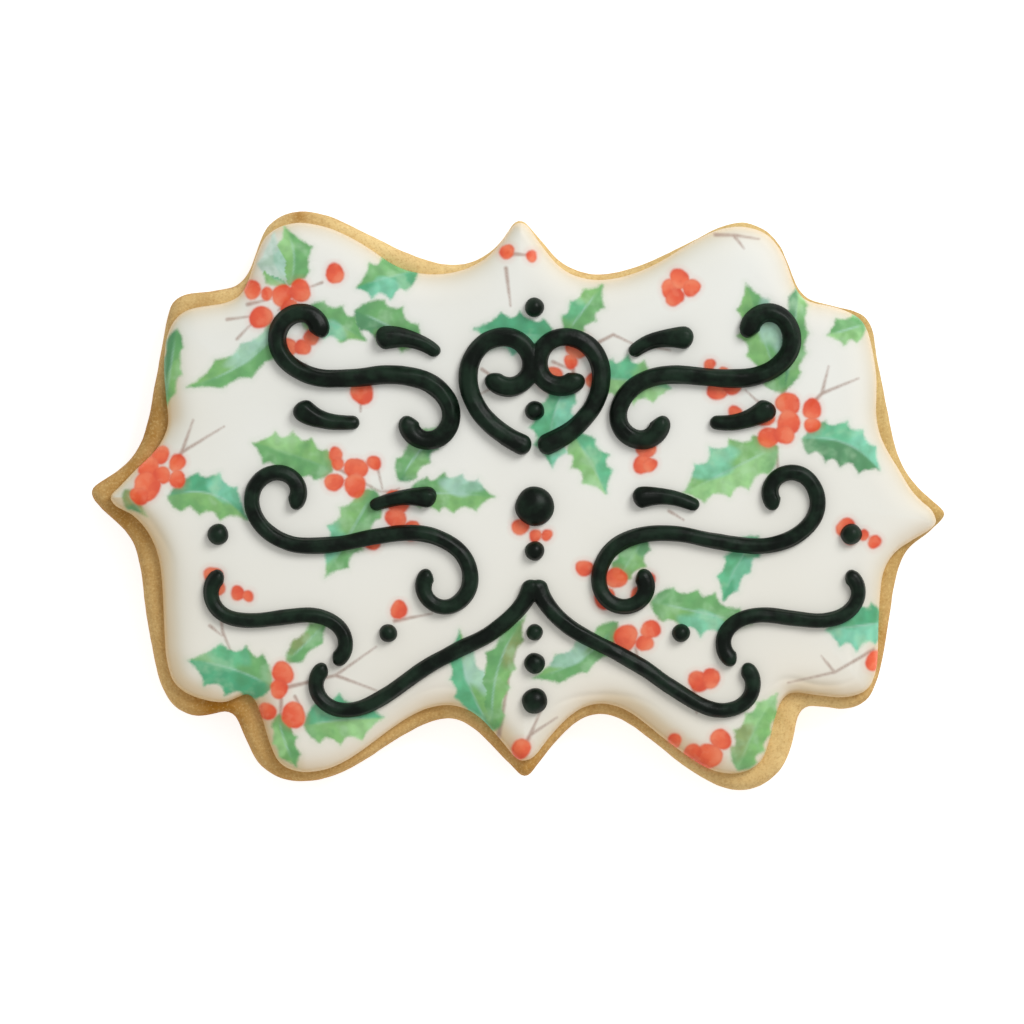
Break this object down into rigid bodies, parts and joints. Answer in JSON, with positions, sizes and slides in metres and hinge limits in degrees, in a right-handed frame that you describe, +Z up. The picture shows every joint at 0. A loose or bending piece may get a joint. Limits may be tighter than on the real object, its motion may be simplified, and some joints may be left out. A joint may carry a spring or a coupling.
{
  "type": "iced sugar cookie",
  "caption": "Flat plaque-shaped baked biscuit with a smooth white icing layer, a painted holly print and raised dark piped scrollwork; lies flat, iced side up.",
  "frame": {"origin": "middle of the outline's box, on the underside, where the biscuit rests", "axes": "+X along the length to the right, +Y across the width to the upper edge, +Z up out of the icing"},
  "size_m": [0.114, 0.0776, 0.0114],
  "materials": {
    "baked_dough": "matte pale golden baked dough, browner on its lower and left edges, with a fine crumb",
    "white_icing": "smooth dried royal icing, warm white with a soft sheen, printed with green holly leaves and coral berries",
    "dark_icing": "green-black piped royal icing, satin, slightly rippled"
  },
  "bodies": {
    "root": {"biscuit": "baked_dough", "icing": "white_icing", "scroll_heart": "dark_icing", "scroll_legs": "dark_icing", "scroll_upper_left": "dark_icing", "scroll_upper_right": "dark_icing", "scroll_middle_left": "dark_icing", "scroll_middle_right": "dark_icing", "scroll_lower_left": "dark_icing", "scroll_lower_right": "dark_icing", "drop_upper_left": "dark_icing", "drop_upper_right": "dark_icing", "drop_outer_left": "dark_icing", "drop_outer_right": "dark_icing", "drop_middle_left": "dark_icing", "drop_middle_right": "dark_icing", "dot_top": "dark_icing", "dot_heart": "dark_icing", "dot_centre": "dark_icing", "dot_under_centre": "dark_icing", "dot_low_1": "dark_icing", "dot_low_2": "dark_icing", "dot_low_3": "dark_icing", "dot_side_left": "dark_icing", "dot_side_right": "dark_icing", "dot_between_left": "dark_icing", "dot_between_right": "dark_icing"}
  },
  "joints": []
}
